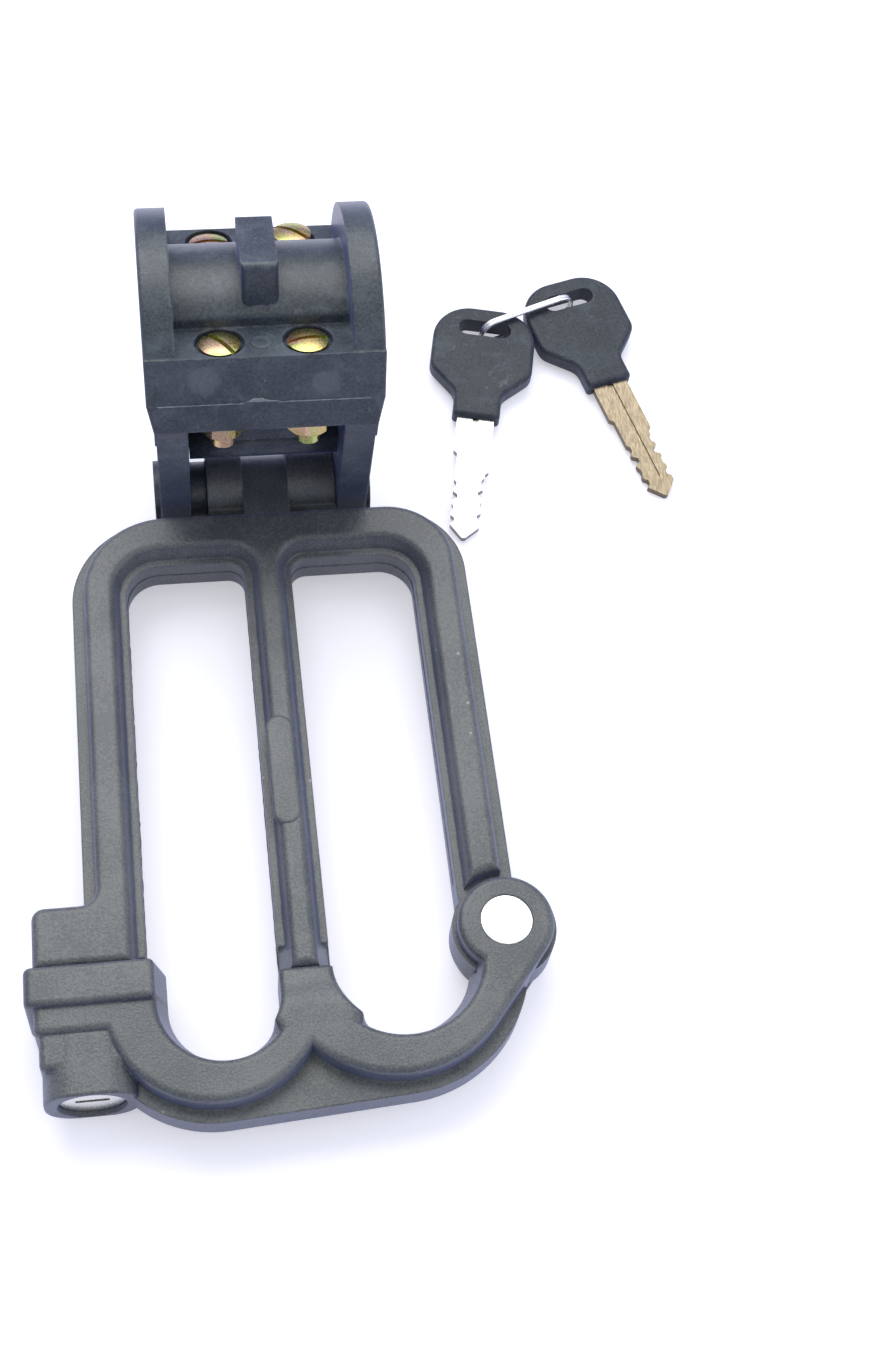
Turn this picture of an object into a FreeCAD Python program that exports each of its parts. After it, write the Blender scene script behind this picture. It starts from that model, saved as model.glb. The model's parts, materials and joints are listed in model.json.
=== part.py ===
"""Motorcycle disc brake lock: a three-pronged shackle, a hinged gate with a key lock, a two-piece
tube clamp on a cross pin, and two keys on a wire link.

Row axes: +X along the clamp's bore, +Y from the key lock towards the clamp, +Z up from the ground.
The origin is the middle of the clamp's bore.  Lock pieces are drawn about the hinge pin's middle,
with z = 0 on their mould parting plane; clamp pieces are drawn about the bore, unleaned.
"""
import FreeCAD, Part
import math
import os
from FreeCAD import Placement, Rotation, Vector

os.makedirs("parts", exist_ok=True)

# ---- fits and clearances ----
running_gap = 0.06        # radial, turning fits
seat_gap = 0.02           # radial, pieces that are pressed or staked in place
bolt_gap = 0.30           # radial, screws in their holes
face_gap = 0.30           # between the gate's and the shackle's meeting faces
pocket_gap = 0.90         # sideways room for the tongue, which leaves its pocket on an arc
cut_over = 1.0            # how far a cutting tool runs past the face it opens

# ---- clamp ----
lean = 17.6               # degrees that the clamp leans back over its hinge
pivot_drop = 50.0         # bore centre to hinge pin
bore_r = 18.0
clamp_width = 59.0
clamp_half_depth = 30.0
split_taper = 1.5         # how much narrower each end of the base gets below the split
flange_top = 13.2
flange_under = 8.6
arch_wall = 5.2
arch_side = 16.8          # half depth of the arch, whose sides stand upright
arch_edge_r = 2.0
cheek_r = 32.3
cheek_thick = 7.7
crest_half = 4.6          # middle rib over the arch
crest_top = 29.4
crest_front = 14.8
crest_back = 9.0
crest_edge_r = 1.6
clamp_edge_r = 1.0
saddle_half = 13.6        # block under the bore, between the legs
saddle_depth = 15.0
saddle_under = 26.0
leg_set_in = 1.9          # outer face of each leg inside the clamp's end
leg_thick = 8.0
leg_gap = clamp_width - 2 * (leg_set_in + leg_thick)
leg_round_r = 9.6
leg_boss_r = 8.8
leg_boss_rise = 1.5
leg_front = 29.6          # half depth where the legs leave the flange
shoulder_drop = 5.5       # step below the flange, outside the legs
shoulder_slope = 2.5

# ---- clamp fasteners ----
screw_x = 10.8
screw_t = 23.2
screw_r = 2.9
screw_head_r = 5.1
screw_head_high = 2.6
screw_dome = 0.9
screw_slot_wide = 1.2
screw_slot_deep = 1.4
screw_pocket_r = 6.2
screw_pocket_floor = 11.2
screw_below = 16.4        # split plane to the screw's tip
screw_turns = (-52.0, 8.0, 4.0, -38.0)   # slot angles, front left, front right, back left, back right
loose_screw_rise = 2.4    # the back right screw stands this much proud
nut_flats = 10.0
nut_high = 5.0
nut_chamfer = 0.9
nut_turns = (0.0, 17.0, 34.0, 51.0)   # degrees, in the screws' order
nut_sink = 0.8            # depth of the nuts' hexagon seats in the flange
nut_room = 0.3            # radial, round a nut's corners

# ---- hinge pin ----
pin_r = 4.0
pin_set_in = 0.6          # pin ends below the bosses
spacer_r = 8.0
spacer_long = 4.4
side_play = 0.2           # at each end of the knuckles, between the legs

# ---- shackle ----
crown_half = 9.0          # half thickness over the crowns
ledge_half = 4.6          # half thickness of the outer ledge
crown_x = 49.0
ledge_wide = 3.0
ledge_top_wide = 1.4      # narrower over the top, where the clamp's legs swing
crown_top_y = -13.4
corner_left_r = 22.0
corner_right_r = 17.5
window_x = 38.0           # outer wall of both windows at the parting plane
window_top_y = -26.5
window_flare = 3.4        # how much a window widens from the parting plane to the crowns
window_outer_r = 9.0
window_inner_r = 4.5
open_past = 12.0         # from a window's outer wall to the cuts that end a leg
bar_x = -0.7              # middle of the centre bar
bar_half = 6.1
bar_end_y = -142.4
crown_edge_r = 2.0
lobe_r = 10.6             # hinge knuckles
waist_r = 8.8
lobe_left = side_play + spacer_long - leg_gap / 2
lobe_right = leg_gap / 2 - side_play
web_left = lobe_left + 9.5
web_right = lobe_right - 12.9
neck_half = 4.6

# ---- lock side of the shackle ----
lock_x = -52.0            # lock axis
block_left = -64.3
block_top_y = -122.5
mouth_y = -138.0          # end face of the block, where the collar begins
block_corner_r = 3.0
tongue_half_x = 8.8
tongue_half_z = 7.0
tongue_long = 10.0
slot_half_x = 6.2         # entry for the turn bar
slot_half_z = 2.6
chamber_half_z = 5.6      # room behind the lips
lip_long = 3.2
chamber_long = 5.4

# ---- hinge side ----
eye_x = 48.4
eye_y = -135.8
eye_r = 12.8
ear_r = 11.8
ear_gap = 0.3             # between the eye and each ear
shoulder_gap = 0.9
rivet_r = 4.5
rivet_head_r = 6.4
rivet_head_high = 1.6

# ---- gate ----
gate_half = 9.8
plate_half = 3.6
window_wall_left = -33.6  # the gate's window walls at the parting plane
window_wall_right = 39.2
window_end_left = -161.6  # lowest points of the two round window ends
window_end_right = -159.3
stub_half = 6.4           # half width of the stub that meets the centre bar
stub_root_y = -152.8      # where the stub leaves the crowns of the ribs
stub_end_half = 7.8       # half thickness of the stub's two ends
stub_root_half = 9.3
stub_edge_r = 1.8
stub_foot = 2.0           # how far the stub runs into the ribs
rib_left = (-22.5, -147.9, 26.0)     # middle and radius of each rib's outer edge
rib_right = (20.5, -141.7, 29.6)
gate_flare = 2.8
plate_wide = 3.2          # thin plate at half height, beyond the ribs
plate_top_y = -151.0
collar_left = -66.3
collar_long = 9.8
collar_half = 11.6
collar_edge_r = 1.4
step_y = -154.4
low_half = 8.6
low_end_y = -162.6
low_edge_r = 1.8
face_y = -169.2
nose_half_x = 11.1
nose_half_z = 8.9
nose_corner_r = 7.6
nose_edge_r = 0.7
gate_edge_r = 1.8

# ---- key lock ----
barrel_r = 8.0
barrel_set_in = 1.9
barrel_rear_y = -152.2
plug_r = 5.4
cap_r = 7.7
cap_thick = 0.6
keyway_high = 7.8
keyway_wide = 1.5
tail_r = 2.6
tail_square = 3.4
clip_r = 4.6
clip_thick = 0.8
clip_bite = 0.7           # depth of the clip's groove in the plug's tail
bar_half_long = 5.2
bar_half_wide = 2.2
bar_thick = 3.0
bar_screw_r = 1.2
bar_screw_head_r = 2.1
bar_screw_head_high = 1.2
wafer_count = 5
wafer_pitch = 2.4
wafer_thick = 0.8
wafer_wide = 4.4
lock_pin_r = 1.2
lock_pin_y = -158.2
lock_pin_bite = 1.6

# ---- keys ----
key_head_thick = 5.6
key_head_wide = 30.0
key_head_long = 28.0
key_head_r = 11.0         # the head's top corners
key_neck_wide = 13.7
key_neck_long = 10.0
key_blade_thick = 2.0
key_blade_wide = 8.4      # between the bitted edges
key_shank_wide = 10.6     # above the shoulders
key_shoulders = (29.0, 23.0)   # left and right, from the tip
key_blade_long = 40.5
key_blade_root = 12.0     # how far the blade runs into the head
key_slot_long = 15.4
key_slot_wide = 5.2
key_slot_in = 7.4         # slot's middle below the top of the head
key_lift = 2.0            # under the slot, where the link passes
key_groove_half = 0.9
key_groove_deep = 0.45
bitting = (1.1, 0.5, 1.4, 0.8, 1.2)
bitting_pitch = 3.9
bitting_first = 6.8       # first notch from the tip
key_a_turn = -12.2
key_b_turn = 15.5
key_a_tip = (55.2, -14.2)
key_b_tip = (115.8, -3.5)
link_wire_r = 0.5
link_high = 1.8           # over the heads
link_past = 0.25          # of the bend's radius, beyond each slot's middle
link_turns = 2

origin_to_pivot = Vector(0, -pivot_drop * math.sin(math.radians(lean)),
                         -pivot_drop * math.cos(math.radians(lean)))
lock_place = Placement(origin_to_pivot, Rotation())
clamp_place = Placement(Vector(0, 0, 0), Rotation(Vector(1, 0, 0), -lean))
X_AXIS = Vector(1, 0, 0)
Y_AXIS = Vector(0, 1, 0)
Z_AXIS = Vector(0, 0, 1)


# ---- drawing helpers ----
def outline(corners):
    """Closed wire through (x, y, radius) corners, each rounded by its radius."""
    arcs = []
    for i, (x, y, radius) in enumerate(corners):
        here = Vector(x, y, 0)
        back = Vector(corners[i - 1][0], corners[i - 1][1], 0) - here
        ahead = Vector(corners[(i + 1) % len(corners)][0], corners[(i + 1) % len(corners)][1], 0) - here
        back.normalize()
        ahead.normalize()
        half = back.getAngle(ahead) / 2
        reach = radius / math.tan(half)
        inward = back + ahead
        inward.normalize()
        arcs.append((here + back * reach, here + inward * (radius / math.sin(half) - radius),
                     here + ahead * reach, radius))
    edges = []
    for i, (start, middle, stop, radius) in enumerate(arcs):
        if radius > 0:
            edges.append(Part.Arc(start, middle, stop).toShape())
        following = arcs[(i + 1) % len(arcs)][0]
        if stop.distanceToPoint(following) > 1e-6:
            edges.append(Part.LineSegment(stop, following).toShape())
    return Part.Wire(Part.__sortEdges__(edges))


def prism(corners, low, high):
    """Rounded outline extruded from z = low to z = high."""
    solid = Part.Face(outline(corners)).extrude(Vector(0, 0, high - low))
    solid.translate(Vector(0, 0, low))
    return solid


def slab(x0, x1, y0, y1, z0, z1):
    return Part.makeBox(x1 - x0, y1 - y0, z1 - z0, Vector(x0, y0, z0))


def rod(radius, start, direction, length):
    return Part.makeCylinder(radius, length, start, direction)


def drafted_core(corners_grown, flare, half):
    """Window core, narrowest at z = 0 and wider by flare at z = +half and z = -half."""
    scale = (half + cut_over) / half
    waist = outline(corners_grown(0))
    wide = outline(corners_grown(flare * scale))
    cores = []
    for side in (1, -1):
        far = wide.copy()
        far.translate(Vector(0, 0, side * half * scale))
        cores.append(Part.makeLoft([waist, far], True, True))
    return cores[0].fuse(cores[1])


def rounded(solid, radius, wanted):
    """Fillet of every edge for which wanted(edge) is true."""
    edges = [edge for edge in solid.Edges if wanted(edge)]
    return solid.makeFillet(radius, edges)


def belt(disc_a, disc_b, low, high, to_middle=False):
    """Two discs (x, y, radius) and all that lies between their outer tangents.
    With to_middle it stops at the second disc's middle."""
    ax, ay, ar = disc_a
    bx, by, br = disc_b
    heading = math.atan2(by - ay, bx - ax)
    spread = math.acos((ar - br) / math.hypot(bx - ax, by - ay))

    def rim(disc, turn):
        return Vector(disc[0] + disc[2] * math.cos(turn), disc[1] + disc[2] * math.sin(turn), low)

    left_a = rim(disc_a, heading + spread)
    left_b = rim(disc_b, heading + spread)
    right_a = rim(disc_a, heading - spread)
    right_b = rim(disc_b, heading - spread)
    if to_middle:
        middle = Vector(bx, by, low)
        edges = [Part.LineSegment(left_a, middle).toShape(), Part.LineSegment(middle, right_b).toShape()]
    else:
        edges = [Part.LineSegment(left_a, left_b).toShape(),
                 Part.Arc(left_b, rim(disc_b, heading), right_b).toShape()]
    edges += [Part.LineSegment(right_b, right_a).toShape(),
              Part.Arc(right_a, rim(disc_a, heading + math.pi), left_a).toShape()]
    return Part.Face(Part.Wire(edges)).extrude(Vector(0, 0, high - low))


def grown(disc, grow):
    return disc[0], disc[1], disc[2] + grow


def lies_at(edge, axis, places):
    """True if the whole edge lies in one of the planes axis = place."""
    box = edge.BoundBox
    low = getattr(box, axis + "Min")
    high = getattr(box, axis + "Max")
    return any(abs(low - place) < 1e-3 and abs(high - place) < 1e-3 for place in places)


def save(name, shape, place):
    shape = shape.copy()
    shape.Placement = place.multiply(shape.Placement)
    solids = shape.Solids
    result = solids[0] if len(solids) == 1 else Part.makeCompound(solids)
    result.exportStep("parts/" + name + ".step")
    box = result.BoundBox
    print("%-16s solids %d valid %s volume %9.1f  x %.1f %.1f  y %.1f %.1f  z %.1f %.1f" % (
        name, len(solids), result.isValid(), result.Volume,
        box.XMin, box.XMax, box.YMin, box.YMax, box.ZMin, box.ZMax))


# ---- shackle ----
def window_corners(side, grow):
    """Outline of one window, rounder beside the outer leg than beside the centre bar."""
    low_y = eye_y - 2 * eye_r
    top_y = window_top_y + grow
    if side < 0:
        left, left_r = -window_x, window_outer_r
        right, right_r = bar_x - bar_half, window_inner_r
    else:
        left, left_r = bar_x + bar_half, window_inner_r
        right, right_r = window_x, window_outer_r
    return [(left - grow, low_y, 0), (right + grow, low_y, 0),
            (right + grow, top_y, right_r + grow), (left - grow, top_y, left_r + grow)]


def perimeter(side_grow, top_grow, low_y, half):
    """Arch of the shackle: two straight legs joined over the top by rounded corners."""
    reach = crown_x + side_grow
    top_y = crown_top_y + top_grow
    return prism([(-reach, low_y, 0), (reach, low_y, 0), (reach, top_y, corner_right_r + side_grow),
                  (-reach, top_y, corner_left_r + side_grow)], -half, half)


def make_neck():
    """Hinge knuckles, waisted in the middle where the web runs up to them."""
    lobes = rod(lobe_r, Vector(lobe_left, 0, 0), X_AXIS, web_left - lobe_left)
    lobes = lobes.fuse(rod(lobe_r, Vector(web_right, 0, 0), X_AXIS, lobe_right - web_right))
    waist = rod(waist_r, Vector(web_left, 0, 0), X_AXIS, web_right - web_left)
    root_y = crown_top_y - crown_edge_r
    rim = crown_half - 0.4
    web = Part.Face(Part.makePolygon([
        Vector(web_left, root_y, -rim), Vector(web_left, root_y, rim),
        Vector(web_left, 0, waist_r), Vector(web_left, 0, -waist_r),
        Vector(web_left, root_y, -rim)]))
    web = web.extrude(Vector(web_right - web_left, 0, 0))
    plate = slab(lobe_left, lobe_right, root_y, 0, -neck_half, neck_half)
    return lobes.fuse([waist, web, plate])


def make_tongue():
    """Tongue that enters the gate's pocket, with a slot and a chamber for the turn bar."""
    root = mouth_y + crown_half
    tip = mouth_y - tongue_long
    body = prism([(lock_x - tongue_half_x, root, 0), (lock_x - tongue_half_x, tip, 1.5),
                  (lock_x + tongue_half_x, tip, 1.5), (lock_x + tongue_half_x, root, 0)],
                 -tongue_half_z, tongue_half_z)
    entry = slab(lock_x - slot_half_x, lock_x + slot_half_x, tip - cut_over, tip + lip_long,
                 -slot_half_z, slot_half_z)
    chamber = slab(lock_x - slot_half_x, lock_x + slot_half_x, tip + lip_long,
                   tip + lip_long + chamber_long, -chamber_half_z, chamber_half_z)
    return body, entry.fuse(chamber)


def make_shackle():
    low_y = eye_y - 2 * eye_r
    crown = perimeter(0, 0, bar_end_y, crown_half)
    ledge = perimeter(ledge_wide, ledge_top_wide, eye_y, ledge_half)
    ledge = ledge.cut(slab(-window_x, window_x, low_y, bar_end_y, -ledge_half, ledge_half))
    block = prism([(block_left, mouth_y, 0), (-window_x, mouth_y, 0), (-window_x, block_top_y + 8, 0),
                   (-crown_x, block_top_y + 8, 0), (-crown_x, block_top_y, 4.0),
                   (block_left, block_top_y, block_corner_r)], -crown_half, crown_half)
    body = crown.fuse(block)
    inner_left = -window_x + open_past
    inner_right = window_x - open_past
    body = body.cut(slab(-crown_x - cut_over, inner_left, low_y, mouth_y, -crown_half, crown_half))
    shoulder = rod(eye_r + shoulder_gap, Vector(eye_x, eye_y, -crown_half), Z_AXIS, 2 * crown_half)
    below = slab(inner_right, crown_x + 5, low_y, eye_y + 2, -crown_half, crown_half)
    body = body.cut([shoulder, below])
    for side in (-1, 1):
        body = body.cut(drafted_core(lambda grow: window_corners(side, grow), window_flare, crown_half))
    body = rounded(body, crown_edge_r, lambda edge: lies_at(edge, "Z", (crown_half, -crown_half)))
    body = body.fuse(make_neck())
    for side in (-1, 1):
        ledge = ledge.cut(prism(window_corners(side, 0), -crown_half, crown_half))
    ledge = ledge.cut(slab(2 * block_left, inner_right, low_y, mouth_y, -crown_half, crown_half))
    eye = rod(eye_r, Vector(eye_x, eye_y, -ledge_half), Z_AXIS, 2 * ledge_half)
    tongue, tongue_cut = make_tongue()
    body = body.fuse([ledge, eye, tongue]).cut(tongue_cut)
    body = body.cut(rod(rivet_r + running_gap, Vector(eye_x, eye_y, -ledge_half), Z_AXIS, 2 * ledge_half))
    body = body.cut(rod(pin_r + running_gap, Vector(lobe_left, 0, 0), X_AXIS, lobe_right - lobe_left))
    return body.removeSplitter()


# ---- gate ----
def window_ends():
    """(left wall, right wall, lowest y) of the two round window ends."""
    return ((window_wall_left, bar_x - stub_half, window_end_left),
            (bar_x + stub_half, window_wall_right, window_end_right))


def window_end_corners(left, right, end_y, grow):
    radius = (right - left) / 2 + grow
    top_y = eye_y + eye_r
    return [(left - grow, top_y, 0), (left - grow, end_y - grow, radius),
            (right + grow, end_y - grow, radius), (right + grow, top_y, 0)]


def make_collar():
    """Raised rim round the mouth of the tongue's pocket."""
    top_right = window_wall_left - gate_flare
    corners = [(collar_left, -collar_half, 2.0), (top_right, -collar_half, 1.4),
               (window_wall_left, 0, 1.0), (top_right, collar_half, 1.4),
               (collar_left, collar_half, 2.0)]
    collar = prism(corners, 0, collar_long)
    collar = rounded(collar, collar_edge_r, lambda edge: lies_at(edge, "Z", (0, collar_long)))
    collar.Placement = Placement(Vector(0, mouth_y - face_gap, 0), Rotation(X_AXIS, 90))
    return collar


def make_stub(meet_y):
    """Short block that meets the centre bar, lower than the ribs it grows from."""
    foot_y = stub_root_y - stub_foot
    points = [(foot_y, stub_root_half), (meet_y, stub_end_half), (meet_y, -stub_end_half),
              (foot_y, -stub_root_half)]
    stub = across(side_profile(points), bar_x - 2 * stub_half, bar_x + 2 * stub_half)
    for left, right, end_y in window_ends():
        stub = stub.cut(prism(window_end_corners(left, right, end_y, 0), -gate_half, gate_half))
    return rounded(stub, stub_edge_r, lambda edge: edge.BoundBox.YLength > 0.5 and
                   abs(edge.CenterOfMass.z) > stub_end_half - stub_edge_r)


def make_nose():
    """Rounded snout round the key lock."""
    corners = [(-nose_half_x, -nose_half_z, nose_corner_r), (nose_half_x, -nose_half_z, nose_corner_r),
               (nose_half_x, nose_half_z, nose_corner_r), (-nose_half_x, nose_half_z, nose_corner_r)]
    nose = prism(corners, 0, step_y - face_y)
    nose.Placement = Placement(Vector(lock_x, step_y, 0), Rotation(X_AXIS, 90))
    return rounded(nose, nose_edge_r, lambda edge: lies_at(edge, "Y", (face_y,)))


def make_gate():
    meet_y = bar_end_y - face_gap
    pocket_y = mouth_y - face_gap - collar_long / 2
    cores = []
    for left, right, end_y in window_ends():
        cores.append(drafted_core(lambda grow: window_end_corners(left, right, end_y, grow),
                                  gate_flare, gate_half))
    ribs = rod(rib_left[2], Vector(rib_left[0], rib_left[1], -gate_half), Z_AXIS, 2 * gate_half)
    arm = belt(rib_right, (eye_x, eye_y, ear_r), -gate_half, gate_half, True)
    housing = prism([(block_left, pocket_y, 0), (block_left, step_y, 1.5), (rib_left[0], step_y, 0),
                     (rib_left[0], pocket_y, 0)], -gate_half, gate_half)
    body = ribs.fuse([arm, housing]).removeSplitter()
    wall_x = (window_wall_left + lock_x) / 2
    stub_trim = stub_end_half - stub_edge_r
    body = body.cut([slab(wall_x, eye_x - ear_r, meet_y, 0, -gate_half, gate_half),
                     slab(eye_x - ear_r, eye_x + 2 * ear_r, eye_y, 0, -gate_half, gate_half),
                     slab(2 * block_left, wall_x, pocket_y, 0, -gate_half, gate_half)])
    for side in (-1, 1):
        low, high = sorted((side * stub_trim, side * gate_half))
        body = body.cut(slab(bar_x - 2 * stub_half, bar_x + 2 * stub_half, stub_root_y, meet_y, low, high))
    body = body.cut(cores)
    ears = rod(ear_r, Vector(0, 0, -gate_half), Z_AXIS, 2 * gate_half)
    ears.Placement = Placement(Vector(eye_x, eye_y, 0), Rotation(Z_AXIS, -120))
    body = body.fuse(ears).removeSplitter()
    body = rounded(body, gate_edge_r, lambda edge: lies_at(edge, "Z", (gate_half, -gate_half)))

    plate = belt(grown(rib_left, plate_wide), grown(rib_right, plate_wide), -plate_half, plate_half)
    plate = plate.cut([slab(-crown_x * 2, crown_x * 2, plate_top_y, 0, -plate_half, plate_half)] + cores)
    low_left = block_left + 1
    low_right = 2 * lock_x - low_left
    low_block = prism([(low_left, step_y + 4, 0), (low_left, low_end_y, low_edge_r),
                       (low_right, low_end_y, 0), (low_right, step_y + 4, 0)], -low_half, low_half)
    low_block = rounded(low_block, low_edge_r, lambda edge: lies_at(edge, "Z", (low_half, -low_half)))
    for piece in (plate, make_collar(), make_stub(meet_y), low_block, make_nose()):
        body = body.fuse(piece)
    body = body.removeSplitter()

    slot_r = eye_r + shoulder_gap
    slot = rod(slot_r, Vector(eye_x, eye_y, -ledge_half - ear_gap), Z_AXIS, 2 * (ledge_half + ear_gap))
    bore = rod(rivet_r + seat_gap, Vector(eye_x, eye_y, -gate_half), Z_AXIS, 2 * gate_half)
    heads = [rod(rivet_head_r + seat_gap, Vector(eye_x, eye_y, z), Z_AXIS, rivet_head_high)
             for z in (-gate_half, gate_half - rivet_head_high)]
    pocket = slab(lock_x - tongue_half_x - pocket_gap, lock_x + tongue_half_x + pocket_gap,
                  mouth_y - tongue_long - pocket_gap, mouth_y,
                  -tongue_half_z - face_gap, tongue_half_z + face_gap)
    barrel_hole = rod(barrel_r + seat_gap, Vector(lock_x, face_y, 0), Y_AXIS, barrel_rear_y - face_y)
    clip_room = rod(clip_r + bolt_gap, Vector(lock_x, barrel_rear_y, 0), Y_AXIS, clip_thick + 0.3)
    tail_hole = rod(tail_r + running_gap, Vector(lock_x, barrel_rear_y, 0), Y_AXIS, 6)
    pin_hole = rod(lock_pin_r + seat_gap, Vector(lock_x, lock_pin_y, -low_half - cut_over), Z_AXIS,
                   low_half + cut_over - barrel_r + lock_pin_bite)
    for hole in [slot, bore, pocket, barrel_hole, clip_room, tail_hole, pin_hole] + heads:
        body = body.cut(hole)
    return body


def make_rivet():
    shank = rod(rivet_r, Vector(eye_x, eye_y, -gate_half), Z_AXIS, 2 * gate_half)
    heads = [rod(rivet_head_r, Vector(eye_x, eye_y, z), Z_AXIS, rivet_head_high)
             for z in (-gate_half, gate_half - rivet_head_high)]
    rivet = shank.fuse(heads).removeSplitter()
    return rounded(rivet, 0.3, lambda edge: lies_at(edge, "Z", (gate_half, -gate_half)))


# ---- key lock ----
def make_barrel():
    front = face_y + barrel_set_in
    long = barrel_rear_y - front
    barrel = rod(barrel_r, Vector(lock_x, front, 0), Y_AXIS, long)
    barrel = barrel.cut(rod(plug_r + running_gap, Vector(lock_x, front, 0), Y_AXIS, long))
    barrel = barrel.cut(rod(lock_pin_r + seat_gap, Vector(lock_x, lock_pin_y, -barrel_r - cut_over),
                            Z_AXIS, lock_pin_bite + cut_over))
    return barrel


def keyway(front, rear):
    half = keyway_wide / 2
    return slab(lock_x - keyway_high / 2, lock_x + keyway_high / 2, front, rear, -half, half)


def wafer_places():
    first = face_y + barrel_set_in + 2.0
    return [first + i * wafer_pitch for i in range(wafer_count)]


def wafer_slot(y, grow):
    half = wafer_wide / 2 + grow
    cut = slab(lock_x - 10, lock_x + 10, y - grow, y + wafer_thick + grow, -half, half)
    return cut


def make_plug():
    front = face_y + barrel_set_in
    rear = barrel_rear_y
    plug = rod(plug_r, Vector(lock_x, front, 0), Y_AXIS, rear - front)
    tail_end = bar_rear_y() + bar_thick
    tail = rod(tail_r, Vector(lock_x, rear, 0), Y_AXIS, bar_rear_y() - rear)
    square = slab(lock_x - tail_square / 2, lock_x + tail_square / 2, rear, tail_end,
                  -tail_square / 2, tail_square / 2)
    square = square.common(rod(tail_r, Vector(lock_x, rear, 0), Y_AXIS, tail_end - rear))
    plug = plug.fuse([tail, square])
    plug = plug.cut(keyway(front, rear - 1.5))
    for y in wafer_places():
        plug = plug.cut(wafer_slot(y, seat_gap))
    groove = rod(tail_r + 1, Vector(lock_x, rear, 0), Y_AXIS, clip_thick + 2 * seat_gap)
    groove = groove.cut(rod(tail_r - clip_bite, Vector(lock_x, rear, 0), Y_AXIS, clip_thick + 2 * seat_gap))
    plug = plug.cut(groove)
    plug = plug.cut(rod(bar_screw_r + seat_gap, Vector(lock_x, tail_end - 5, 0), Y_AXIS, 5))
    return plug.removeSplitter()


def bar_rear_y():
    """Where the turn bar begins, just inside the chamber behind the tongue's lips."""
    return mouth_y - tongue_long + lip_long + face_gap + 0.4


def make_wafers():
    body = rod(plug_r - 0.05, Vector(lock_x, face_y, 0), Y_AXIS, barrel_rear_y - face_y)
    wafers = []
    for i, y in enumerate(wafer_places()):
        blank = wafer_slot(y, 0).common(body)
        window = slab(lock_x - keyway_high / 2, lock_x + keyway_high / 2 - 0.5 * (i % 3), y, y + wafer_thick,
                      -keyway_wide / 2, keyway_wide / 2)
        wafers.append(blank.cut(window))
    return Part.makeCompound(wafers)


def make_cap():
    """Bright disc on the plug's front, with the key slot."""
    front = face_y + barrel_set_in - cap_thick
    cap = rod(cap_r, Vector(lock_x, front, 0), Y_AXIS, cap_thick)
    cap = rounded(cap, 0.25, lambda edge: lies_at(edge, "Y", (front,)))
    return cap.cut(keyway(front - cut_over, front + cap_thick))


def make_clip():
    start = Vector(lock_x, barrel_rear_y + seat_gap, 0)
    clip = rod(clip_r, start, Y_AXIS, clip_thick)
    clip = clip.cut(rod(tail_r - clip_bite + seat_gap, start, Y_AXIS, clip_thick))
    mouth = slab(lock_x, lock_x + 10, barrel_rear_y, barrel_rear_y + 2, -1.4, 1.4)
    return clip.cut(mouth)


def make_turn_bar():
    rear = bar_rear_y()
    bar = prism([(-bar_half_long, -bar_half_wide, 1.4), (bar_half_long, -bar_half_wide, 1.4),
                 (bar_half_long, bar_half_wide, 1.4), (-bar_half_long, bar_half_wide, 1.4)], 0, bar_thick)
    bar.Placement = Placement(Vector(lock_x, rear, 0), Rotation(X_AXIS, -90))
    hole = tail_square / 2 + seat_gap
    return bar.cut(slab(lock_x - hole, lock_x + hole, rear, rear + bar_thick, -hole, hole))


def make_bar_screw():
    seat = bar_rear_y() + bar_thick
    head = rod(bar_screw_head_r, Vector(lock_x, seat, 0), Y_AXIS, bar_screw_head_high)
    slot = slab(lock_x - 3, lock_x + 3, seat + bar_screw_head_high - 0.6, seat + 3, -0.3, 0.3)
    shank = rod(bar_screw_r, Vector(lock_x, seat - 4.5, 0), Y_AXIS, 4.5)
    return head.cut(slot).fuse(shank)


def make_lock_pin():
    long = low_half - barrel_r + lock_pin_bite - 0.3
    return rod(lock_pin_r, Vector(lock_x, lock_pin_y, -low_half + 0.2), Z_AXIS, long)


# ---- clamp ----
def side_profile(points):
    """Face in the plane x = 0 from (t, s) points."""
    wire = Part.makePolygon([Vector(0, t, s) for t, s in points + points[:1]])
    return Part.Face(wire)


def across(face, x0, x1):
    solid = face.extrude(Vector(x1 - x0, 0, 0))
    solid.translate(Vector(x0, 0, 0))
    return solid


def screw_places():
    return [(x, t) for t in (-screw_t, screw_t) for x in (-screw_x, screw_x)]


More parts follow.
